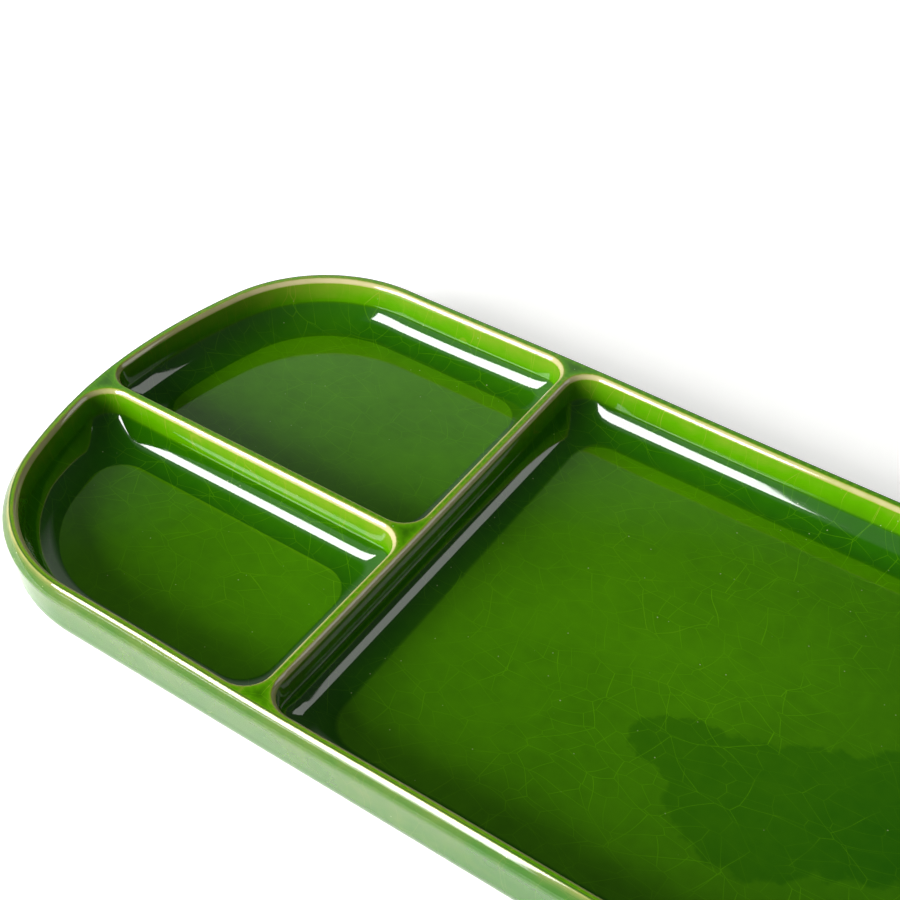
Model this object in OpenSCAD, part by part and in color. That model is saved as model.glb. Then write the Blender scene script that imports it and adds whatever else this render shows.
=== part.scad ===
// Glazed earthenware olive dish with two small wells at one end and one large well.
// X runs along the dish with the small wells towards -X, Y across it, Z up from the table.
// The clay is split where the wall, the dividers, the floors and the foot meet.
// The glaze lies over the clay in thin coats, one for each face of the dish.

/* [Dish] */
// Length over the two rounded ends
length = 300; // [260:1:380]
// Width over the two long walls
width = 140; // [124:1:170]
// Height from the table to the top of the rim
height = 20; // [17:0.5:28]
// Radius of the four corners in plan
corner_r = 42; // [36:1:50]
// Radius of the shallow curve across each end
end_r = 142; // [125:1:180]

/* [Walls and wells] */
// Thickness of the outer wall, glaze included
rim_w = 4; // [3.4:0.1:6]
// Thickness of the two dividers, glaze included
divider_w = 3.2; // [2.8:0.1:5]
// Distance of the cross divider from the middle of the dish
cross_offset = 49; // [35:1:65]
// Distance of the end divider from the centre line
end_offset = 9; // [0:0.1:20]
// Radius of the wells' upright inside corners
well_r = 7; // [6.2:0.1:10]
// Radius of the cove between a well's wall and its floor
cove_r = 5.5; // [3:0.1:6.5]
// Radius of the rounded edges on the rim and dividers
edge_r = 1.2; // [0.8:0.1:1.4]

/* [Floor and foot] */
// Thickness of the clay floor
floor_t = 4; // [3:0.1:6]
// Radius of the outside edge at the bottom
base_r = 7; // [3:0.1:8]
// Height of the foot ring
foot_h = 1.5; // [1:0.1:3]
// Width of the foot ring
foot_w = 3; // [2:0.1:4]
// Distance of the foot ring from the outside of the dish
foot_inset = 8.5; // [8.2:0.1:10]

/* [Glaze] */
// Thickness of the glaze
glaze_t = 0.5; // [0.3:0.05:0.7]

/* [Hidden] */
$fn = 96;
// How far the flat part of each clay piece runs past its cove
lap = 1.5;
// How far a cutting shape runs past what it cuts
over = 3;
// The smaller step in which a position is set
fine = 0.001;
clay_colour = "wheat";
glaze_colour = "forestgreen";

// Levels above the table
clay_base = foot_h;
clay_floor = clay_base + floor_t;
clay_top = height - glaze_t;
well_floor = clay_floor + glaze_t;
glaze_base = clay_base - glaze_t;

// The outline has a shallow arc across each end and a smaller arc at each corner, all tangent
corner_y = width / 2 - corner_r;
end_run = sqrt(pow(end_r - corner_r, 2) - corner_y * corner_y);
end_x = length / 2 - end_r;
corner_x = end_x + end_run;
end_a = atan2(corner_y, end_run);

// Inside faces of the outer wall, and the faces of the dividers
inner_y = width / 2 - rim_w;
inner_corner_r = corner_r - rim_w;
inner_end_r = end_r - rim_w;
seam = rim_w + max(cove_r, well_r) + lap;
cross_flange = divider_w / 2 + well_r + lap;
end_flange = (divider_w + cove_r + well_r) / 2;
cross_span = [-cross_offset - cross_flange, cross_flange - cross_offset];
end_span = [-end_offset - end_flange, end_flange - end_offset];
large_x = divider_w / 2 - cross_offset;
small_x = -divider_w / 2 - cross_offset;
back_y = divider_w / 2 - end_offset;
front_y = -divider_w / 2 - end_offset;

// An outline is a list of arcs, anticlockwise: [centre x, centre y, radius, first angle, last angle].
// A straight run joins the end of an arc to the start of the next where they are apart.
dish_outline = [
    [corner_x, corner_y, corner_r, end_a, 90],
    [-corner_x, corner_y, corner_r, 90, 180 - end_a],
    [-end_x, 0, end_r, 180 - end_a, 180 + end_a],
    [-corner_x, -corner_y, corner_r, 180 + end_a, 270],
    [corner_x, -corner_y, corner_r, 270, 360 - end_a],
    [end_x, 0, end_r, -end_a, end_a]
];

large_well = [
    [corner_x, corner_y, inner_corner_r, end_a, 90],
    [large_x + well_r, inner_y - well_r, well_r, 90, 180],
    [large_x + well_r, well_r - inner_y, well_r, 180, 270],
    [corner_x, -corner_y, inner_corner_r, 270, 360 - end_a],
    [end_x, 0, inner_end_r, -end_a, end_a]
];

// Where a small well's corner meets both the end divider and the curve of the end wall
tip_reach = inner_end_r - well_r;
back_a = asin((back_y + well_r) / tip_reach);
front_a = asin((well_r - front_y) / tip_reach);

back_well = [
    [small_x - well_r, inner_y - well_r, well_r, 0, 90],
    [-corner_x, corner_y, inner_corner_r, 90, 180 - end_a],
    [-end_x, 0, inner_end_r, 180 - end_a, 180 - back_a],
    [-end_x - tip_reach * cos(back_a), back_y + well_r, well_r, 180 - back_a, 270],
    [small_x - well_r, back_y + well_r, well_r, 270, 360]
];

front_well = [
    [small_x - well_r, front_y - well_r, well_r, 0, 90],
    [-end_x - tip_reach * cos(front_a), front_y - well_r, well_r, 90, 180 + front_a],
    [-end_x, 0, inner_end_r, 180 + front_a, 180 + end_a],
    [-corner_x, -corner_y, inner_corner_r, 180 + end_a, 270],
    [small_x - well_r, well_r - inner_y, well_r, 270, 360]
];

// The point at a distance and an angle from an arc's centre
function ray(arc, r, a) = [arc[0] + r * cos(a), arc[1] + r * sin(a)];

// A few points along each arc of an outline, moved in by inset
function rough_points(outline, inset) = [
    for (arc = outline)
        for (k = [0:3])
            ray(arc, arc[2] - inset, arc[3] + (arc[4] - arc[3]) * k / 3)
];

// Moves a shape by whole millimetres, then by fine steps and then by the rest, which keeps it exact
module place(x, y) {
    whole = [floor(x), floor(y), 0];
    part = [floor((x - whole[0]) / fine) * fine, floor((y - whole[1]) / fine) * fine, 0];
    translate(whole)
        translate(part)
            translate([x, y, 0] - whole - part)
                children();
}

module upright(points) {
    linear_extrude(height + over)
        polygon(points);
}

// Carries a section round an outline. The section's x is the distance outwards from the outline
// and its y is the height. It lies between -band and over in x.
module around(outline, band) {
    for (i = [0:len(outline) - 1]) {
        arc = outline[i];
        next = outline[(i + 1) % len(outline)];
        step = (arc[4] - arc[3]) / 3;
        run_start = ray(arc, arc[2], arc[4]);
        run_length = norm(ray(next, next[2], next[3]) - run_start);
        intersection() {
            place(arc[0], arc[1])
                rotate_extrude()
                    place(arc[2], 0)
                        children();
            upright([
                ray(arc, arc[2] - band, arc[3]),
                ray(arc, arc[2] + over, arc[3]),
                ray(arc, (arc[2] + over) / cos(step / 2), arc[3] + step),
                ray(arc, (arc[2] + over) / cos(step / 2), arc[4] - step),
                ray(arc, arc[2] + over, arc[4]),
                ray(arc, arc[2] - band, arc[4])
            ]);
        }
        if (run_length > lap)
            intersection() {
                place(run_start[0], run_start[1])
                    rotate(arc[4])
                        rotate([90, 0, 0])
                            translate([0, 0, -run_length - over])
                                linear_extrude(run_length + 2 * over)
                                    children();
                upright([
                    ray(arc, arc[2] - band, arc[4]),
                    ray(arc, arc[2] + over, arc[4]),
                    ray(next, next[2] + over, next[3]),
                    ray(next, next[2] - band, next[3])
                ]);
            }
    }
}

// A corner that a cove of radius r fills, below and outside the cove's centre
module cove_corner(r) {
    difference() {
        square(r);
        translate([0, r])
            circle(r);
    }
}

// Section of a well from its corners' centre lines outwards, grown by a thickness all round
module well_section(grow) {
    difference() {
        translate([-well_r, well_floor - grow])
            square([well_r + grow, height + over - well_floor + grow]);
        translate([-cove_r, well_floor - grow])
            cove_corner(cove_r + grow);
    }
}

// Section of the clear space over a well's rounded edge
module edge_section() {
    difference() {
        translate([0, height - edge_r])
            square([edge_r, edge_r + over]);
        translate([edge_r, height - edge_r])
            circle(edge_r);
    }
}

// Section of the outer wall's block, from depth inside the outline outwards, shrunk all round
module block_section(depth, shrink) {
    translate([-depth, glaze_base + shrink])
        square([depth - base_r, height - glaze_base - 2 * shrink]);
    translate([-base_r, glaze_base + base_r])
        square([base_r - shrink, height - glaze_base - base_r - edge_r]);
    translate([-base_r, height - edge_r])
        square([base_r - edge_r, edge_r - shrink]);
    translate([-edge_r, height - edge_r])
        circle(edge_r - shrink);
    intersection() {
        translate([-base_r, glaze_base + base_r])
            circle(base_r - shrink);
        translate([-base_r, glaze_base])
            square(base_r);
    }
}

// The clear space of a well, grown by a thickness all round
module well_space(outline, grow) {
    around(outline, well_r)
        well_section(grow);
    translate([0, 0, well_floor - grow])
        linear_extrude(height + over - well_floor + grow)
            polygon(rough_points(outline, well_r - lap));
}

// The mouth of a well, as far as its rounded edge reaches on the rim
module well_mouth(outline) {
    around(outline, well_r)
        translate([-well_r, clay_floor])
            square([well_r + edge_r, height]);
    upright(rough_points(outline, well_r - lap));
}

// Cuts a well, with room for its glaze, out of a piece of clay
module clear_of(outline) {
    difference() {
        children();
        well_space(outline, glaze_t);
    }
}

// Section of a divider with the start of the floor on each side, its middle at zero
module divider_section() {
    difference() {
        translate([-end_flange, clay_base])
            square([2 * end_flange, clay_top - clay_base]);
        for (side = [0, 1])
            mirror([side, 0])
                translate([-divider_w / 2, 0])
                    well_section(glaze_t);
    }
}

// The floor inside the outer wall's seam, within two spans
module floor_plate(x_span, y_span) {
    intersection() {
        union() {
            around(dish_outline, seam + over)
                translate([-seam - over, clay_base])
                    square([over, floor_t]);
            translate([0, 0, clay_base])
                linear_extrude(floor_t)
                    polygon(rough_points(dish_outline, seam + lap));
        }
        translate([x_span[0], y_span[0], 0])
            cube([x_span[1] - x_span[0], y_span[1] - y_span[0], height]);
    }
}

// The glaze of a well, which laps over the edge of the clay and is thinnest there
module well_coat(outline) {
    around(outline, well_r)
        difference() {
            intersection() {
                union() {
                    well_section(glaze_t);
                    translate([0, clay_top])
                        square([edge_r, over]);
                }
                translate([-well_r, 0])
                    square([well_r + over, height]);
            }
            well_section(0);
            edge_section();
        }
    translate([0, 0, clay_floor])
        linear_extrude(glaze_t)
            polygon(rough_points(outline, well_r - lap));
}

module outer_wall() {
    color(clay_colour)
        clear_of(large_well)
            clear_of(back_well)
                clear_of(front_well)
                    around(dish_outline, seam + lap)
                        block_section(seam, glaze_t);
}

module cross_divider() {
    color(clay_colour)
        clear_of(large_well)
            clear_of(back_well)
                clear_of(front_well)
                    translate([cross_span[0], seam - width / 2, clay_base])
                        cube([2 * cross_flange, width - 2 * seam, clay_top - clay_base]);
}

module end_divider() {
    color(clay_colour)
        intersection() {
            translate([cross_span[0], -end_offset, 0])
                rotate([90, 0, -90])
                    linear_extrude(length / 2)
                        divider_section();
            translate([-end_x, 0, 0])
                cylinder(h = height, r = end_r - seam);
        }
}

module large_well_floor() {
    color(clay_colour)
        floor_plate([cross_span[1], length / 2], [-width / 2, width / 2]);
}

module back_well_floor() {
    color(clay_colour)
        floor_plate([-length / 2, cross_span[0]], [end_span[1], width / 2]);
}

module front_well_floor() {
    color(clay_colour)
        floor_plate([-length / 2, cross_span[0]], [-width / 2, end_span[0]]);
}

module foot_ring() {
    color(clay_colour)
        around(dish_outline, seam + over)
            translate([-foot_inset - foot_w, 0])
                square([foot_w, foot_h]);
}

module large_well_glaze() {
    color(glaze_colour)
        well_coat(large_well);
}

module back_well_glaze() {
    color(glaze_colour)
        well_coat(back_well);
}

module front_well_glaze() {
    color(glaze_colour)
        well_coat(front_well);
}

module rim_glaze() {
    color(glaze_colour)
        difference() {
            union() {
                around(dish_outline, seam)
                    translate([-seam, clay_top])
                        square([seam - edge_r, glaze_t]);
                translate([cross_span[0], seam / 2 - width / 2, clay_top])
                    cube([2 * cross_flange, width - seam, glaze_t]);
                translate([seam / 2 - length / 2, -end_offset - cross_flange, clay_top])
                    cube([(length - seam) / 2 - cross_offset, 2 * cross_flange, glaze_t]);
            }
            well_mouth(large_well);
            well_mouth(back_well);
            well_mouth(front_well);
        }
}

module outside_glaze() {
    color(glaze_colour)
        around(dish_outline, seam)
            difference() {
                block_section(foot_inset, 0);
                block_section(foot_inset + over, glaze_t);
                translate([-foot_inset - over, height - edge_r])
                    square([foot_inset + over - edge_r, edge_r + over]);
            }
}

module underside_glaze() {
    color(glaze_colour)
        difference() {
            translate([0, 0, glaze_base])
                linear_extrude(glaze_t)
                    polygon(rough_points(dish_outline, foot_inset + foot_w / 2));
            foot_ring();
        }
}

outer_wall();
cross_divider();
end_divider();
large_well_floor();
back_well_floor();
front_well_floor();
foot_ring();
large_well_glaze();
back_well_glaze();
front_well_glaze();
rim_glaze();
outside_glaze();
underside_glaze();
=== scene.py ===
import bpy
import bmesh
import math
import numpy as np
from mathutils import Matrix, Vector
from mathutils.geometry import delaunay_2d_cdt


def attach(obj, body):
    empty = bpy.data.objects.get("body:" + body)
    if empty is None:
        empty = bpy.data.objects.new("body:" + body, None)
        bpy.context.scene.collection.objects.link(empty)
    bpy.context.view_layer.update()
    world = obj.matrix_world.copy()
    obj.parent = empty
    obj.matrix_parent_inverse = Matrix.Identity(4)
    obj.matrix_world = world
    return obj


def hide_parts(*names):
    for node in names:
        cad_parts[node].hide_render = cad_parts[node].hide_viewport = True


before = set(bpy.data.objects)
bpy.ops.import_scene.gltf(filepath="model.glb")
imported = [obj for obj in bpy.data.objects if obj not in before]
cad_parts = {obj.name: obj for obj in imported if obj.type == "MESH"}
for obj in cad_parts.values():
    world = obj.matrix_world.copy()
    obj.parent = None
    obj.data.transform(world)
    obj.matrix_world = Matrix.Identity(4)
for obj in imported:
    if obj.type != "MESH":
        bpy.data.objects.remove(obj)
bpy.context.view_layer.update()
print("frame loaded:", len(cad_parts), "nodes")

mm = 0.001

# sizes of the solids, in millimetres
dish = dict(length=300.0, width=140.0, height=20.0, cornerRadius=42.0, endRadius=142.0,
            crossOffset=49.0, endOffset=8.7, wellFloor=6.0, glazeBase=1.0, footInset=8.5, footWidth=3.0)


def outlines(rim, divider, w):
    d = dish
    cornerY = d["width"] / 2 - d["cornerRadius"]
    endRun = math.sqrt((d["endRadius"] - d["cornerRadius"]) ** 2 - cornerY ** 2)
    endX = d["length"] / 2 - d["endRadius"]
    cornerX = endX + endRun
    tip = math.degrees(math.atan2(cornerY, endRun))
    inCorner, inEnd = d["cornerRadius"] - rim, d["endRadius"] - rim
    innerY = d["width"] / 2 - rim
    largeX, smallX = divider / 2 - d["crossOffset"], -divider / 2 - d["crossOffset"]
    backY, frontY = divider / 2 - d["endOffset"], -divider / 2 - d["endOffset"]
    reach = inEnd - w
    backTip = math.degrees(math.asin((backY + w) / reach))
    frontTip = math.degrees(math.asin((w - frontY) / reach))
    return dict(
        outer=[(cornerX, cornerY, inCorner, tip, 90), (-cornerX, cornerY, inCorner, 90, 180 - tip),
               (-endX, 0, inEnd, 180 - tip, 180 + tip), (-cornerX, -cornerY, inCorner, 180 + tip, 270),
               (cornerX, -cornerY, inCorner, 270, 360 - tip), (endX, 0, inEnd, -tip, tip)],
        large=[(cornerX, cornerY, inCorner, tip, 90), (largeX + w, innerY - w, w, 90, 180),
               (largeX + w, w - innerY, w, 180, 270), (cornerX, -cornerY, inCorner, 270, 360 - tip),
               (endX, 0, inEnd, -tip, tip)],
        back=[(smallX - w, innerY - w, w, 0, 90), (-cornerX, cornerY, inCorner, 90, 180 - tip),
              (-endX, 0, inEnd, 180 - tip, 180 - backTip),
              (-endX - reach * math.cos(math.radians(backTip)), backY + w, w, 180 - backTip, 270),
              (smallX - w, backY + w, w, 270, 360)],
        front=[(smallX - w, frontY - w, w, 0, 90),
               (-endX - reach * math.cos(math.radians(frontTip)), frontY - w, w, 90, 180 + frontTip),
               (-endX, 0, inEnd, 180 + frontTip, 180 + tip), (-cornerX, -cornerY, inCorner, 180 + tip, 270),
               (smallX - w, w - innerY, w, 270, 360)])


# least points on an arc, how much wider points lie on a straight run, and the shortest run in mm that gets any
spread = dict(arcLeast=8, runStretch=1.6, runLeast=0.5)


def countSteps(arcs, spacing):
    # how many points each arc and the straight run after it get
    steps = []
    for i, (cx, cy, r, a0, a1) in enumerate(arcs):
        turn = math.radians(a1 - a0)
        nx, ny, nr, b0, _ = arcs[(i + 1) % len(arcs)]
        gap = (nx + nr * math.cos(math.radians(b0)) - cx - r * math.cos(math.radians(a1)),
               ny + nr * math.sin(math.radians(b0)) - cy - r * math.sin(math.radians(a1)))
        run = math.hypot(*gap)
        runCount = round(run / (spacing * spread["runStretch"])) if run > spread["runLeast"] else 0
        steps.append((max(spread["arcLeast"], round(r * turn / spacing)), runCount))
    return steps


def walkOutline(arcs, steps):
    points = []
    for i, ((cx, cy, r, a0, a1), (arcCount, runCount)) in enumerate(zip(arcs, steps)):
        for k in range(arcCount):
            a = math.radians(a0 + (a1 - a0) * k / arcCount)
            points.append((cx + r * math.cos(a), cy + r * math.sin(a)))
        nx, ny, nr, b0, _ = arcs[(i + 1) % len(arcs)]
        start = np.array((cx + r * math.cos(math.radians(a1)), cy + r * math.sin(math.radians(a1))))
        end = np.array((nx + nr * math.cos(math.radians(b0)), ny + nr * math.sin(math.radians(b0))))
        points += [tuple(start + (end - start) * k / runCount) for k in range(runCount)]
    return np.array(points)


def ringAt(name, steps, inset, corner, z, shift=0):
    arcs = outlines(inset[0], inset[1], corner)[name]
    points = walkOutline(arcs, steps) + (0, shift)
    return np.column_stack([points, np.full(len(points), z)])


# how far the cast walls wander, and over which heights and lengths, in mm
hand = dict(sideBow=0.55, endBow=0.6, rimDip=0.22, bowFrom=4, bowRise=12, bowWide=34, sideEnd=140, sideFade=60,
            endFrom=60, endFade=60, endMiddle=9, endWide=26, dipFrom=8, dipRise=12)


def handMade(p):
    # the cast dish isn't true: long walls bow in away from the cross divider, the rim dips a little
    h = hand
    x, y, z = p[:, 0], p[:, 1], p[:, 2]
    up = np.clip((z - h["bowFrom"]) / h["bowRise"], 0, 1)
    up = up * up * (3 - 2 * up)
    free = 1 - np.exp(-((x + dish["crossOffset"]) / h["bowWide"]) ** 2)
    bow = h["sideBow"] * free * np.clip((h["sideEnd"] - np.abs(x)) / h["sideFade"], 0, 1)
    y2 = y * (1 - bow * up / (dish["width"] / 2))
    side = np.clip((-x - h["endFrom"]) / h["endFade"], 0, 1)
    x2 = x + h["endBow"] * up * side * (1 - np.exp(-((y + h["endMiddle"]) / h["endWide"]) ** 2))
    # two long waves round the rim
    dip = 0.5 + 0.28 * np.sin(x / 27 + 0.8) + 0.22 * np.sin(y / 19 - x / 53)
    z2 = z - h["rimDip"] * dip * np.clip((z - h["dipFrom"]) / h["dipRise"], 0, 1)
    return np.stack([x2, y2, z2], axis=1)


def arcProfile(cx, cz, rx, rz, a0, a1, count):
    return [(cx + rx * math.cos(math.radians(a0 + (a1 - a0) * k / count)),
             cz + rz * math.sin(math.radians(a0 + (a1 - a0) * k / count))) for k in range(count + 1)]


def bendProfile(start, bends, steps):
    # a chain of arcs: each (radius, tilt from, tilt to), tilt 0 a sheer wall and 90 level
    (o, z), points = start, [start]
    for radius, a0, a1 in bends:
        for k in range(1, steps + 1):
            a = math.radians(a0 + (a1 - a0) * k / steps)
            points.append((o + radius * abs(math.cos(math.radians(a0)) - math.cos(a)),
                           z - radius * abs(math.sin(a) - math.sin(math.radians(a0)))))
        o, z = points[-1]
    return points


sharpTurn = 50      # edges that turn by more degrees than this stay crisp


def makePiece(name, verts, faces, depth, material, nodes):
    mesh = bpy.data.meshes.new(name)
    mesh.from_pydata((handMade(np.asarray(verts, float)) * mm).tolist(), [], faces)
    layer = mesh.attributes.new("glazeDepth", "FLOAT", "POINT")
    layer.data.foreach_set("value", np.asarray(depth, np.float32))
    bm = bmesh.new()
    bm.from_mesh(mesh)
    bmesh.ops.recalc_face_normals(bm, faces=bm.faces[:])
    for e in bm.edges:
        if len(e.link_faces) == 2 and e.calc_face_angle() > math.radians(sharpTurn):
            e.smooth = False
    for f in bm.faces:
        f.smooth = True
    bm.to_mesh(mesh)
    bm.free()
    mesh.materials.append(material)
    obj = bpy.data.objects.new(name, mesh)
    bpy.context.scene.collection.objects.link(obj)
    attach(obj, "root")
    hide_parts(*nodes)
    print("made", name, len(mesh.polygons), "faces")
    return obj


def loft(rings, capFirst=None, capLast=None, closed=False):
    # rings of equal length joined by quads; a cap is a middle point that closes an end
    n = len(rings[0])
    verts = np.concatenate(rings).tolist()
    faces = []
    last = len(rings) if closed else len(rings) - 1
    for i in range(last):
        a, b = i * n, ((i + 1) % len(rings)) * n
        for k in range(n):
            m = (k + 1) % n
            faces.append((a + k, a + m, b + m, b + k))
    for cap, base in ((capFirst, 0), (capLast, (len(rings) - 1) * n)):
        if cap is not None:
            verts.append(cap)
            faces += [(base + k, base + (k + 1) % n, len(verts) - 1) for k in range(n)]
    return verts, faces


def toLinear(hexColour):
    c = [int(hexColour[i:i + 2], 16) / 255 for i in (1, 3, 5)]
    return tuple(v / 12.92 if v <= 0.04045 else ((v + 0.055) / 1.055) ** 2.4 for v in c) + (1.0,)


def addNode(tree, kind, settings=None, inputs=None, links=None):
    node = tree.nodes.new(kind)
    for key, value in (settings or {}).items():
        setattr(node, key, value)
    for key, value in (inputs or {}).items():
        node.inputs[key].default_value = value
    for key, socket in (links or {}).items():
        tree.links.new(socket, node.inputs[key])
    return node


def newMaterial(name):
    material = bpy.data.materials.new(name)
    material.use_nodes = True
    tree = material.node_tree
    tree.nodes.clear()
    return material, tree


def setRamp(node, stops):
    ramp = node.color_ramp
    while len(ramp.elements) < len(stops):
        ramp.elements.new(0.5)
    for element, (place, colour) in zip(ramp.elements, stops):
        element.position = place
        element.color = toLinear(colour) if isinstance(colour, str) else colour


# majolica glaze, poured and fired to glass: cream where it runs thin on edges, deep green where it pools,
# crazed into long cells as it cooled, with pinholes where gas left the clay
glaze = dict(thin="#bcb284", edge="#84942a", wall="#4f9000", floor="#396f00", pool="#1e5600", deep="#0c3000",
             speck="#c9cfa0", roughness=0.05, ior=1.56,
             cloud=52.0, cloudShare=0.22, mottle=4.0, mottleShare=0.10, evenOut=-0.16,
             deepenFromX=10, deepenToX=110, deepenByX=0.12,
             ragged=((14.0, 9.0), (3.2, 4.4), (0.9, 1.7)), poolHigh=2, poolOuter=1.05, poolInner=0.94, poolDeep=0.13,
             cell=8.4, crackLevels=((1, 0.3), (0.55, 0.22)), crackThin=1.15, line=0.06, lineCore=0.03,
             warp=22.0, bend=9.0, crackTurn=24, crackStretch=0.6, fade=13, fadeFrom=0.28, fadeTo=0.55,
             speckGap=3.0, speckSize=0.2, speckCore=0.02, speckShow=0.6, speckPick=0.66,
             ripple=9.0, rippleDepth=0.012)

# where the glaze pooled twice on the large floor: centre and half sizes in mm
pools = (((32, -18), (15, 9)), ((46, -22), (18, 17)), ((63, -13), (20, 15)), ((84, -2), (24, 19)))


def glazeMaterial(name, tones):
    g = dict(glaze, **tones)
    material, tree = newMaterial(name)
    place = addNode(tree, "ShaderNodeTexCoord").outputs["Object"]
    depth = addNode(tree, "ShaderNodeAttribute", dict(attribute_name="glazeDepth")).outputs["Fac"]
    cloud = addNode(tree, "ShaderNodeTexNoise", None,
                    {"Scale": 1 / (g["cloud"] * mm), "Detail": 3.0, "Roughness": 0.55},
                    {"Vector": place}).outputs["Fac"]
    mottle = addNode(tree, "ShaderNodeTexNoise", None, {"Scale": 1 / (g["mottle"] * mm), "Detail": 2.0},
                     {"Vector": place}).outputs["Fac"]
    drift = addNode(tree, "ShaderNodeMath", dict(operation="MULTIPLY_ADD"), {1: g["cloudShare"], 2: g["evenOut"]},
                    {0: cloud}).outputs[0]
    drift = addNode(tree, "ShaderNodeMath", dict(operation="MULTIPLY_ADD"), {1: g["mottleShare"]},
                    {0: mottle, 2: drift}).outputs[0]
    thick = addNode(tree, "ShaderNodeMath", dict(operation="ADD", use_clamp=True), None,
                    {0: depth, 1: drift}).outputs[0]

    # the glaze is deeper, so darker, towards +X
    along = addNode(tree, "ShaderNodeSeparateXYZ", None, None, {0: place}).outputs["X"]
    run = addNode(tree, "ShaderNodeMapRange", dict(interpolation_type="SMOOTHSTEP"),
                  {"From Min": g["deepenFromX"] * mm, "From Max": g["deepenToX"] * mm, "To Max": g["deepenByX"]},
                  {0: along}).outputs[0]
    thick = addNode(tree, "ShaderNodeMath", dict(operation="ADD"), None, {0: thick, 1: run}).outputs[0]

    # second pouring on the large floor, its edge ragged at three sizes
    ragged = place
    for size, push in g["ragged"]:
        wobble = addNode(tree, "ShaderNodeTexNoise", None, {"Scale": 1 / (size * mm), "Detail": 2.0},
                         {"Vector": place}).outputs["Color"]
        shift = addNode(tree, "ShaderNodeVectorMath", dict(operation="SUBTRACT"), {1: (0.5, 0.5, 0.5)}, {0: wobble})
        ragged = addNode(tree, "ShaderNodeVectorMath", dict(operation="MULTIPLY_ADD"), {1: (push * mm, push * mm, 0)},
                         {0: shift.outputs[0], 2: ragged}).outputs[0]
    nearest = None
    for (x, y), (rx, ry) in pools:
        local = addNode(tree, "ShaderNodeVectorMath", dict(operation="SUBTRACT"),
                        {1: (x * mm, y * mm, dish["wellFloor"] * mm)}, {0: ragged}).outputs[0]
        local = addNode(tree, "ShaderNodeVectorMath", dict(operation="MULTIPLY"),
                        {1: (1 / (rx * mm), 1 / (ry * mm), 1 / (g["poolHigh"] * mm))}, {0: local}).outputs[0]
        far = addNode(tree, "ShaderNodeVectorMath", dict(operation="LENGTH"), None, {0: local}).outputs["Value"]
        nearest = far if nearest is None else addNode(tree, "ShaderNodeMath", dict(operation="MINIMUM"), None,
                                                      {0: nearest, 1: far}).outputs[0]
    pool = addNode(tree, "ShaderNodeMapRange", dict(interpolation_type="SMOOTHSTEP"),
                   {"From Min": g["poolOuter"], "From Max": g["poolInner"], "To Max": g["poolDeep"]},
                   {0: nearest}).outputs[0]
    thick = addNode(tree, "ShaderNodeMath", dict(operation="ADD"), None, {0: thick, 1: pool}).outputs[0]

    # crazing: long warped cells, some of the lines fading out; the glaze is thinner along them
    wave = addNode(tree, "ShaderNodeTexNoise", None, {"Scale": 1 / (g["warp"] * mm), "Detail": 1.0},
                   {"Vector": place}).outputs["Color"]
    bent = addNode(tree, "ShaderNodeVectorMath", dict(operation="MULTIPLY_ADD"), {1: (g["bend"] * mm,) * 3},
                   {0: wave, 2: place}).outputs[0]
    long = addNode(tree, "ShaderNodeMapping", None,
                   {"Rotation": (0, 0, math.radians(g["crackTurn"])), "Scale": (g["crackStretch"], 1, 1)},
                   {"Vector": bent}).outputs[0]
    lines = None
    for share, strength in g["crackLevels"]:
        cell = g["cell"] * share
        crazing = addNode(tree, "ShaderNodeTexVoronoi", dict(feature="DISTANCE_TO_EDGE", voronoi_dimensions="2D"),
                          {"Scale": 1 / (cell * mm)}, {"Vector": long}).outputs["Distance"]
        line = addNode(tree, "ShaderNodeMapRange", None,
                       {"From Min": g["line"] / cell, "From Max": g["lineCore"] / cell, "To Max": strength},
                       {0: crazing}).outputs[0]
        lines = line if lines is None else addNode(tree, "ShaderNodeMath", dict(operation="MAXIMUM"), None,
                                                   {0: lines, 1: line}).outputs[0]
    patchy = addNode(tree, "ShaderNodeTexNoise", None, {"Scale": 1 / (g["fade"] * mm)}, {"Vector": place})
    fade = addNode(tree, "ShaderNodeMapRange", None, {"From Min": g["fadeFrom"], "From Max": g["fadeTo"]},
                   {0: patchy.outputs["Fac"]}).outputs[0]
    lines = addNode(tree, "ShaderNodeMath", dict(operation="MULTIPLY"), None, {0: lines, 1: fade}).outputs[0]
    left = addNode(tree, "ShaderNodeMath", dict(operation="MULTIPLY_ADD"), {1: -g["crackThin"], 2: 1.0},
                   {0: lines}).outputs[0]
    thick = addNode(tree, "ShaderNodeMath", dict(operation="MULTIPLY"), None, {0: thick, 1: left}).outputs[0]
    tone = addNode(tree, "ShaderNodeValToRGB", None, None, {"Fac": thick})
    setRamp(tone, [(0.0, g["thin"]), (0.16, g["edge"]), (0.34, g["wall"]), (0.55, g["floor"]), (0.8, g["pool"]),
                   (1.0, g["deep"])])

    # pinholes: pale dots in about one cell in three
    dots = addNode(tree, "ShaderNodeTexVoronoi", None, {"Scale": 1 / (g["speckGap"] * mm)}, {"Vector": place})
    dot = addNode(tree, "ShaderNodeMapRange", None,
                  {"From Min": g["speckSize"] / g["speckGap"], "From Max": g["speckCore"], "To Max": g["speckShow"]},
                  {0: dots.outputs["Distance"]}).outputs[0]
    pick = addNode(tree, "ShaderNodeSeparateColor", None, None, {0: dots.outputs["Color"]}).outputs[0]
    chosen = addNode(tree, "ShaderNodeMath", dict(operation="GREATER_THAN"), {1: g["speckPick"]}, {0: pick}).outputs[0]
    dot = addNode(tree, "ShaderNodeMath", dict(operation="MULTIPLY"), None, {0: dot, 1: chosen}).outputs[0]
    colour = addNode(tree, "ShaderNodeMix", dict(data_type="RGBA"), {"B": toLinear(g["speck"])},
                     {"Factor": dot, "A": tone.outputs["Color"]}).outputs[2]

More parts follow.
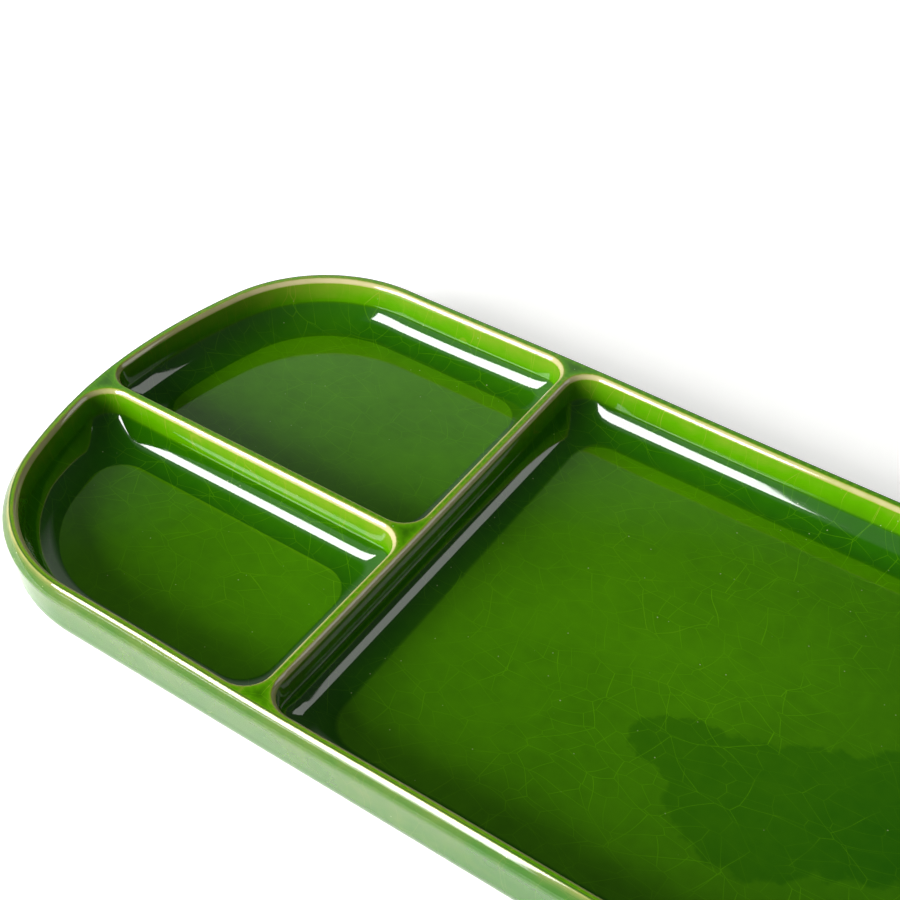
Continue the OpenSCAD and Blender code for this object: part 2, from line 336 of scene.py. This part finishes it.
    # the fired surface is a little wavy, and glossier in some places than in others
    ripple = addNode(tree, "ShaderNodeTexNoise", None, {"Scale": 1 / (g["ripple"] * mm), "Detail": 1.0},
                     {"Vector": place}).outputs["Fac"]
    bump = addNode(tree, "ShaderNodeBump", None, {"Strength": 1.0, "Distance": g["rippleDepth"] * mm},
                   {"Height": ripple})
    gloss = addNode(tree, "ShaderNodeMapRange", None,
                    {"From Min": 0.3, "From Max": 0.7, "To Min": g["roughness"] * 0.7, "To Max": g["roughness"] * 1.4},
                    {0: mottle}).outputs[0]
    bsdf = addNode(tree, "ShaderNodeBsdfPrincipled", None, {"IOR": g["ior"]},
                   {"Base Color": colour, "Roughness": gloss, "Normal": bump.outputs["Normal"]})
    addNode(tree, "ShaderNodeOutputMaterial", None, None, {"Surface": bsdf.outputs["BSDF"]})
    return material


# biscuit-fired cream earthenware, wiped clean of glaze and rubbed flat: matt, fine grain
clay = dict(body="#d8c8a4", shade="#c2ad86", grain=0.6, grainDepth=0.1, roughness=0.82, ior=1.5)


def clayMaterial():
    material, tree = newMaterial("creamEarthenware")
    place = addNode(tree, "ShaderNodeTexCoord").outputs["Object"]
    grit = addNode(tree, "ShaderNodeTexNoise", None, {"Scale": 1 / (clay["grain"] * mm), "Detail": 4.0},
                   {"Vector": place}).outputs["Fac"]
    tone = addNode(tree, "ShaderNodeValToRGB", None, None, {"Fac": grit})
    setRamp(tone, [(0.3, clay["shade"]), (0.7, clay["body"])])
    bump = addNode(tree, "ShaderNodeBump", None, {"Strength": 0.25, "Distance": clay["grainDepth"] * mm},
                   {"Height": grit})
    bsdf = addNode(tree, "ShaderNodeBsdfPrincipled", None, {"Roughness": clay["roughness"], "IOR": clay["ior"]},
                   {"Base Color": tone.outputs["Color"], "Normal": bump.outputs["Normal"]})
    addNode(tree, "ShaderNodeOutputMaterial", None, None, {"Surface": bsdf.outputs["BSDF"]})
    return material


glazeSkin = glazeMaterial("greenCrackleGlaze", {})
# the same glaze wiped thin on the outside, so the pale clay dulls it
outsideTones = dict(thin="#b5a968", edge="#6c7a38", wall="#39661f", floor="#305b18", pool="#265010", crackThin=0.5)
outsideSkin = glazeMaterial("thinGreenCrackleGlaze", outsideTones)
clayBody = clayMaterial()

# depths are shares of the deepest glaze, with what each gains along its way down
# a well: rounded lip, steep wall, a cove that turns in, slopes and eases out, and a floor that sags a little
well = dict(rim=4.2, divider=3.2, shift=-0.3, lip=((0.5, 90, 43), (5.0, 43, 31), (0.8, 31, 1)),
            draft=1, cove=((2.2, 1, 27), (18.0, 27, 38.5), (8.0, 38.5, 85)),
            cornerTop=6.4, cornerFloor=8.5, guard=0.08, skin=0.4, sag=0.1, spacing=1.5,
            lipSteps=4, wallSteps=6, coveSteps=8, mouthDepth=0.30, lipDepth=0.28, lipThin=0.26, lipSharp=0.8,
            wallDepth=(0.26, 0.10), coveDepthAndShade=(0.38, 0.40), coveQuick=2.4, floorDepth=0.5,
            floorRings=(0.99, 0.95, 0.88, 0.78, 0.66, 0.53, 0.4, 0.27, 0.15, 0.06))


def wellGlaze(name, key, nodes):
    w, h, floor = well, dish["height"], dish["wellFloor"]
    steps = countSteps(outlines(w["rim"], w["divider"], w["cornerTop"])[key], w["spacing"])
    foot = bendProfile((0.0, 0.0), w["cove"], w["coveSteps"])
    top = floor - foot[-1][1]
    lip = bendProfile((0.0, h), w["lip"], w["lipSteps"])
    e, wallTop = lip[-1]
    wallIn = (wallTop - top) * math.tan(math.radians(w["draft"]))
    reach = wallIn + foot[-1][0]

    def ring(inward, z):
        corner = w["cornerTop"] - inward if inward < 0 else \
            w["cornerTop"] + (w["cornerFloor"] - w["cornerTop"]) * inward / reach
        return ringAt(key, steps, (w["rim"] + inward, w["divider"] + 2 * inward), corner, z, w["shift"])

    profile = [(-e - w["guard"], h, w["mouthDepth"])]
    for k, (o, z) in enumerate(lip):
        t = k / (len(lip) - 1)
        profile.append((o - e, z, w["lipDepth"] - w["lipThin"] * math.sin(math.pi * t) ** w["lipSharp"]))
    start, gain = w["wallDepth"]
    for k in range(1, w["wallSteps"]):
        t = k / w["wallSteps"]
        profile.append((wallIn * t, wallTop + (top - wallTop) * t, start + gain * t))
    # the cove's glaze deepens quickly and ends darker than the floor: real pooling at the wall's foot, and partly
    # painted shade in the cove
    start, gain = w["coveDepthAndShade"]
    for k, (o, z) in enumerate(foot):
        t = min(1.0, w["coveQuick"] * k / (len(foot) - 1))
        profile.append((wallIn + o, top + z, start + gain * t * t * (3 - 2 * t)))
    rings = [ring(o, z) for o, z, d in profile]
    depth = [d for o, z, d in profile]
    edge = rings[-1]
    middle = np.mean(edge[:, :2], axis=0)
    for t in w["floorRings"]:
        inner = edge.copy()
        inner[:, :2] = middle + (edge[:, :2] - middle) * t
        inner[:, 2] = floor - w["sag"] * (1 - t * t)
        rings.append(inner)
        depth.append(w["floorDepth"])
    # the face against the clay, which closes the coat
    low, s = floor - w["skin"], w["skin"]
    under = [(reach, low), (reach * 0.45, low + 1.1), (wallIn + 0.5, floor + (top - floor) * 0.5),
             (wallIn - s, top), (-s, wallTop), (-e * 0.7, h - s), (-e - w["guard"], h - s)]
    backRings = [ring(o, z) for o, z in under]
    verts, faces = loft(backRings + rings, (middle[0], middle[1], low), (middle[0], middle[1], floor - w["sag"]))
    d = w["floorDepth"]
    values = np.concatenate([np.repeat([d] * len(backRings) + depth, len(edge)), [d, d]])
    makePiece(name, verts, faces, values, glazeSkin, nodes)
    return rings[0][:, :2]


largeMouth = wellGlaze("largeWellGlaze", "large", ("large_well_glaze", "large_well_floor"))
backMouth = wellGlaze("backWellGlaze", "back", ("back_well_glaze", "back_well_floor"))
frontMouth = wellGlaze("frontWellGlaze", "front", ("front_well_glaze", "front_well_floor"))

# the outside: a sloped shoulder under the rim, a wall that leans in, and a round turn to the base
outside = dict(shoulder=((0.5, 90, 43), (13.5, 43, 32), (1.8, 32, 5)), baseRadius=7.2, lean=1.2, skin=0.4,
               guard=0.08, spacing=1.6, shoulderSteps=6, wallSteps=7, baseSteps=10, mouthDepth=0.36,
               shoulderDepth=(0.34, -0.04), crestThinAndGlow=0.24, crestAt=0.3, crestWide=0.16, wallDepth=(0.30, 0.04),
               baseDepthAndShade=(0.34, 0.12), footDepth=0.45, backDepth=0.4)
anyDivider, anyCorner = 3, 5        # needed by outlines, without effect on the outer one
outerSteps = countSteps(outlines(0, anyDivider, anyCorner)["outer"], outside["spacing"])


def outerRing(inset, z):
    return ringAt("outer", outerSteps, (inset, anyDivider), anyCorner, z)


def outsideGlaze():
    c, h, low = outside, dish["height"], dish["glazeBase"]
    fall = bendProfile((0.0, h), c["shoulder"], c["shoulderSteps"])
    e, eh, b, s = fall[-1][0], h - fall[-1][1], c["baseRadius"], c["skin"]
    profile = [(e + c["guard"], h, c["mouthDepth"])]
    start, gain = c["shoulderDepth"]
    for k, (o, z) in enumerate(fall):
        t = k / (len(fall) - 1)
        # the crest is painted thinner and paler: partly real thin glaze on the crest, partly a painted glow beside the
        # shoulder's highlight
        crest = c["crestThinAndGlow"] * math.exp(-((t - c["crestAt"]) / c["crestWide"]) ** 2)
        profile.append((e - o, z, start + gain * t - crest))
    start, gain = c["wallDepth"]
    for k in range(1, c["wallSteps"]):
        t = k / c["wallSteps"]
        profile.append((c["lean"] * t, h - eh + (low + b - h + eh) * t, start + gain * t))
    # towards the base the glaze deepens and darkens: partly real run-down glaze, partly painted shade at the foot
    start, gain = c["baseDepthAndShade"]
    for k, (o, z) in enumerate(arcProfile(c["lean"] + b, low + b, -b, b, 0, -90, c["baseSteps"])):
        profile.append((o, z, start + gain * k / c["baseSteps"]))
    profile.append((dish["footInset"], low, c["footDepth"]))
    # the face against the clay, which closes the coat
    back = [(dish["footInset"], low + s), (c["lean"] + b, low + s), (s + c["lean"], low + b), (s, h - eh),
            (e * 0.5, h - s - eh * 0.2), (e + c["guard"], h - s)]
    profile += [(o, z, c["backDepth"]) for o, z in back]
    rings = [outerRing(o, z) for o, z, d in profile]
    verts, faces = loft(rings, closed=True)
    depth = np.repeat([d for o, z, d in profile], len(rings[0]))
    makePiece("outsideGlaze", verts, faces, depth, outsideSkin, ("outside_glaze", "outer_wall"))
    return rings[0][:, :2]


outerMouth = outsideGlaze()

# the flat tops of the rim and dividers: a mesh of this step, kept clear of the edges, glaze deepest in the wide places
rim = dict(skin=0.4, step=0.9, clear=0.45, edgeDepth=0.26, gain=0.42, wide=2.4, chunk=200)


def inside(spots, loop):
    # even-odd test of many points against one loop
    hit = np.zeros(len(spots), bool)
    x, y = spots[:, 0], spots[:, 1]
    for (x0, y0), (x1, y1) in zip(loop, np.roll(loop, -1, axis=0)):
        if y0 != y1:
            hit ^= ((y0 > y) != (y1 > y)) & (x < (x1 - x0) * (y - y0) / (y1 - y0) + x0)
    return hit


def onFlat(spots):
    # inside the rim and outside every well
    flat = inside(spots, outerMouth)
    for loop in (largeMouth, backMouth, frontMouth):
        flat &= ~inside(spots, loop)
    return flat


def gapTo(spots, edge):
    # distance from each point to the nearest point of the edge, in chunks to save memory
    gap = np.full(len(spots), np.inf)
    for i in range(0, len(edge), rim["chunk"]):
        part = edge[None, i:i + rim["chunk"], :]
        gap = np.minimum(gap, np.linalg.norm(spots[:, None, :] - part, axis=2).min(axis=1))
    return gap


def rimGlaze():
    loops = [outerMouth, largeMouth, backMouth, frontMouth]
    flat = np.concatenate(loops)
    edges, start = [], 0
    for loop in loops:
        edges += [(start + k, start + (k + 1) % len(loop)) for k in range(len(loop))]
        start += len(loop)
    # extra points where the flat is wide, so that the glaze can thicken there
    xs = np.arange(-dish["length"] / 2, dish["length"] / 2, rim["step"])
    ys = np.arange(-dish["width"] / 2, dish["width"] / 2, rim["step"])
    grid = np.stack(np.meshgrid(xs, ys), axis=-1).reshape(-1, 2)
    keep = (gapTo(grid, flat) > rim["clear"]) & onFlat(grid)
    spots = np.concatenate([flat, grid[keep]])
    verts, _, faces = delaunay_2d_cdt([Vector(p) for p in spots], edges, [], 0, 1e-6)[:3]
    top = np.array([tuple(v) for v in verts])
    depth = rim["edgeDepth"] + rim["gain"] * np.clip(gapTo(top, flat) / rim["wide"], 0, 1)
    n, h = len(top), dish["height"]
    allVerts = np.concatenate([np.column_stack([top, np.full(n, z)]) for z in (h, h - rim["skin"])])
    middles = np.array([top[list(f)].mean(axis=0) for f in faces])
    faces = [tuple(f) for f, solid in zip(faces, onFlat(middles)) if solid]
    seen = {(a, b): True for f in faces for a, b in zip(f, f[1:] + f[:1])}
    sides = [(b, a, a + n, b + n) for a, b in seen if (b, a) not in seen]
    under = [tuple(v + n for v in reversed(f)) for f in faces]
    makePiece("rimGlaze", allVerts, faces + under + sides, np.concatenate([depth, depth]), glazeSkin,
              ("rim_glaze", "cross_divider", "end_divider"))


rimGlaze()

# the foot is wiped bare of glaze and rubbed flat
foot = dict(round=0.4, roundSteps=5, height=1.5)


def footRing():
    r, h, n = foot["round"], foot["height"], foot["roundSteps"]
    out, back = dish["footInset"], dish["footInset"] + dish["footWidth"]
    profile = [(out, h)] + arcProfile(out + r, r, -r, r, 0, -90, n) + arcProfile(back - r, r, -r, r, -90, -180, n)
    profile.append((back, h))
    rings = [outerRing(o, z) for o, z in profile]
    verts, faces = loft(rings, closed=True)
    makePiece("footRing", verts, faces, np.zeros(len(verts)), clayBody, ("foot_ring",))


# the base inside the foot: rings towards the middle, glaze a little deeper against the foot
underside = dict(skin=0.4, backRings=(0.3, 0.65, 1.0), rings=(1.0, 0.97, 0.9, 0.75, 0.55, 0.35, 0.15),
                 depth=0.45, edgeDepth=0.6, edgeFrom=0.95)


def undersideGlaze():
    u = underside
    low, s = dish["glazeBase"], u["skin"]
    edge = outerRing(dish["footInset"] + dish["footWidth"], 0)[:, :2]
    rings, depth = [], []
    for z, steps in ((low + s, u["backRings"]), (low, u["rings"])):
        for t in steps:
            rings.append(np.column_stack([edge * t, np.full(len(edge), z)]))
            depth.append(u["depth"] if t < u["edgeFrom"] else u["edgeDepth"])
    verts, faces = loft(rings, (0, 0, low + s), (0, 0, low))
    values = np.concatenate([np.repeat(depth, len(edge)), [u["depth"], u["depth"]]])
    makePiece("undersideGlaze", verts, faces, values, glazeSkin, ("underside_glaze",))


footRing()
undersideGlaze()

# camera at the photograph's viewing angle: place, lens and sensor in millimetres, nearest in metres
view = dict(place=(88.8, -211.06, 273.45), ahead=(-0.39358, 0.61937, -0.67931), right=(0.83082, 0.55595, 0.02553),
            lens=60.49, sensor=36, nearest=0.01)


def makeCamera():
    data = bpy.data.cameras.new("camera")
    data.lens = view["lens"]
    data.sensor_width = view["sensor"]
    data.clip_start = view["nearest"]
    obj = bpy.data.objects.new("camera", data)
    ahead = Vector(view["ahead"]).normalized()
    right = Vector(view["right"])
    right = (right - right.dot(ahead) * ahead).normalized()
    up = right.cross(ahead)
    turn = Matrix((right, up, -ahead)).transposed().to_4x4()
    obj.matrix_world = Matrix.Translation(Vector(view["place"]) * mm) @ turn
    bpy.context.scene.collection.objects.link(obj)
    bpy.context.scene.camera = obj


makeCamera()
print("camera placed")

# plain pale floor, kept white for the eye and for reflections without lighting the dish
stage = dict(size=8.0, colour="#efefed", lift=0.55, farLift=1.1, fadeFrom=0.4, fadeTo=1.5)


def makeFloor():
    half = stage["size"] / 2
    mesh = bpy.data.meshes.new("floor")
    mesh.from_pydata([(-half, -half, 0), (half, -half, 0), (half, half, 0), (-half, half, 0)], [], [(0, 1, 2, 3)])
    material, tree = newMaterial("paperSweep")
    path = addNode(tree, "ShaderNodeLightPath").outputs
    seen = addNode(tree, "ShaderNodeMath", dict(operation="ADD", use_clamp=True), None,
                   {0: path["Is Camera Ray"], 1: path["Is Glossy Ray"]}).outputs[0]
    seen = addNode(tree, "ShaderNodeMath", dict(operation="ADD", use_clamp=True), None,
                   {0: seen, 1: path["Is Transmission Ray"]}).outputs[0]
    # lifted more where the lamps no longer reach
    away = addNode(tree, "ShaderNodeVectorMath", dict(operation="LENGTH"), None,
                   {0: addNode(tree, "ShaderNodeTexCoord").outputs["Object"]}).outputs["Value"]
    lift = addNode(tree, "ShaderNodeMapRange", dict(interpolation_type="SMOOTHSTEP"),
                   {"From Min": stage["fadeFrom"], "From Max": stage["fadeTo"], "To Min": stage["lift"],
                    "To Max": stage["farLift"]}, {0: away}).outputs[0]
    seen = addNode(tree, "ShaderNodeMath", dict(operation="MULTIPLY"), None, {0: seen, 1: lift}).outputs[0]
    matt = addNode(tree, "ShaderNodeBsdfDiffuse", None, {"Color": toLinear(stage["colour"])})
    glow = addNode(tree, "ShaderNodeEmission", None, {"Color": toLinear(stage["colour"])}, {"Strength": seen})
    both = addNode(tree, "ShaderNodeAddShader", None, None, {0: matt.outputs[0], 1: glow.outputs[0]})
    addNode(tree, "ShaderNodeOutputMaterial", None, None, {"Surface": both.outputs[0]})
    mesh.materials.append(material)
    floor = bpy.data.objects.new("floor", mesh)
    bpy.context.scene.collection.objects.link(floor)


makeFloor()
print("floor laid")

# a tall softbox at the front left with its bright panel, a dim white card at the back right, a fill overhead
lamps = dict(
    keySoftbox=dict(turn=-27.5, low=2, high=38.5, across=34, far=1.4, level=17.0, lights=True, mirrored=False),
    keyPanel=dict(turn=-28, low=17, high=33, across=29, far=1.4, level=20.0, lights=False, mirrored=True),
    backCard=dict(turn=131, low=13, high=32, across=24, far=1.4, level=2.6, lights=False, mirrored=True),
    overhead=dict(turn=0, low=73, high=107, across=34, far=1.4, level=1.6, lights=True, mirrored=False),
)


def makeLamps():
    # turn is measured from the front towards the right, angles in degrees, level as a multiple of white paper
    for name, lamp in lamps.items():
        up = math.radians((lamp["low"] + lamp["high"]) / 2)
        turn = math.radians(lamp["turn"])
        wide = 2 * lamp["far"] * math.tan(math.radians(lamp["across"] / 2))
        tall = 2 * lamp["far"] * math.tan(math.radians((lamp["high"] - lamp["low"]) / 2))
        data = bpy.data.lights.new(name, "AREA")
        data.shape = "RECTANGLE"
        data.size, data.size_y = wide, tall
        data.energy = lamp["level"] * math.pi * wide * tall
        obj = bpy.data.objects.new(name, data)
        obj.location = (lamp["far"] * math.cos(up) * math.sin(turn), -lamp["far"] * math.cos(up) * math.cos(turn),
                        lamp["far"] * math.sin(up))
        obj.rotation_euler = (-Vector(obj.location)).to_track_quat("-Z", "Y").to_euler()
        obj.visible_camera = False
        obj.visible_diffuse, obj.visible_glossy = lamp["lights"], lamp["mirrored"]
        bpy.context.scene.collection.objects.link(obj)


makeLamps()
print("lamps set:", ", ".join(lamps))

# grey levels of the room, the heights as sines, and where its left side begins
room = dict(wall=0.6, ceiling=0.03, darkSide=0.1, wallTop=0.61, fade=0.105, skyline=0.03, skylineFade=0.06,
            leftFrom=0.05, leftTo=-0.25)


def makeWorld():
    # pale walls on the left, a dark room above and on the right, where a thin white skyline shows
    world = bpy.data.worlds.new("room")
    bpy.context.scene.world = world
    world.use_nodes = True
    tree = world.node_tree
    tree.nodes.clear()
    ray = addNode(tree, "ShaderNodeTexCoord").outputs["Generated"]
    axes = addNode(tree, "ShaderNodeSeparateXYZ", None, None, {0: ray})
    wall, ceiling, dark = [(v, v, v, 1) for v in (room["wall"], room["ceiling"], room["darkSide"])]
    white = (1, 1, 1, 1)
    height = addNode(tree, "ShaderNodeValToRGB", None, None, {"Fac": axes.outputs["Z"]})
    setRamp(height, [(0.0, wall), (room["wallTop"], wall), (room["wallTop"] + room["fade"], ceiling), (1.0, ceiling)])
    skyline = addNode(tree, "ShaderNodeValToRGB", None, None, {"Fac": axes.outputs["Z"]})
    setRamp(skyline, [(0.0, white), (room["skyline"], white), (room["skylineFade"], dark), (1.0, ceiling)])
    side = addNode(tree, "ShaderNodeMapRange", None, {"From Min": room["leftFrom"], "From Max": room["leftTo"]},
                   {0: axes.outputs["X"]})
    tint = addNode(tree, "ShaderNodeMix", dict(data_type="RGBA"), None,
                   {"Factor": side.outputs[0], "A": skyline.outputs[0], "B": height.outputs[0]})
    sky = addNode(tree, "ShaderNodeBackground", None, {"Strength": 1.0}, {"Color": tint.outputs[2]})
    addNode(tree, "ShaderNodeOutputWorld", None, None, {"Surface": sky.outputs[0]})


makeWorld()
print("room made")
bpy.context.scene.view_settings.view_transform = "Standard"
